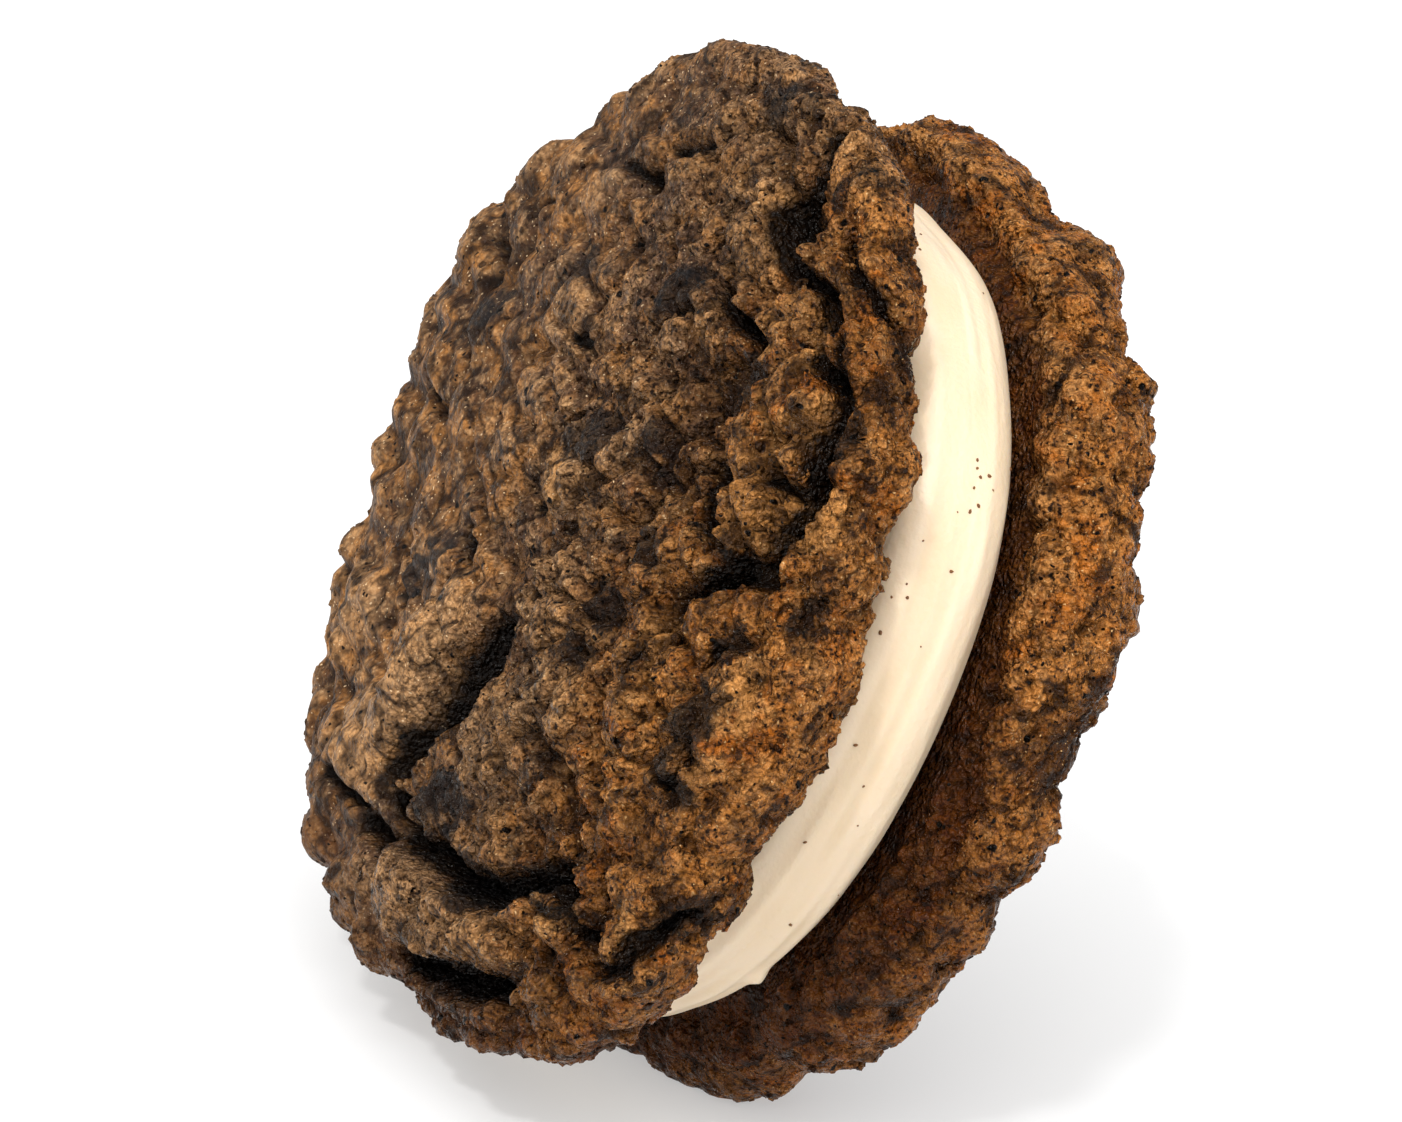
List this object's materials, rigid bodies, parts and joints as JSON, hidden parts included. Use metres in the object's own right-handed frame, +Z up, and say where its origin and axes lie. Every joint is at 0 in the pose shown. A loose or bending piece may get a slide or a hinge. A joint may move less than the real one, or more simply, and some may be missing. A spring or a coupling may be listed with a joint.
{
  "type": "chocolate sandwich cookie",
  "caption": "Round sandwich of soft baked chocolate cookies with a thick pale cream filling, standing on its rim and leaning back.",
  "frame": {"origin": "on the surface the cookie stands on, under the middle of its box", "axes": "+Z up, -Y the way the front cookie's outer face looks, +X to the right when seen from the front; the discs lean back towards +Y"},
  "size_m": [0.083, 0.0551, 0.0823],
  "materials": {
    "front_crust": "matte",
    "rear_crust": "matte",
    "cream": "satin"
  },
  "bodies": {
    "root": {"front_cookie": "front_crust", "rear_cookie": "rear_crust", "cream_filling": "cream"}
  },
  "joints": []
}
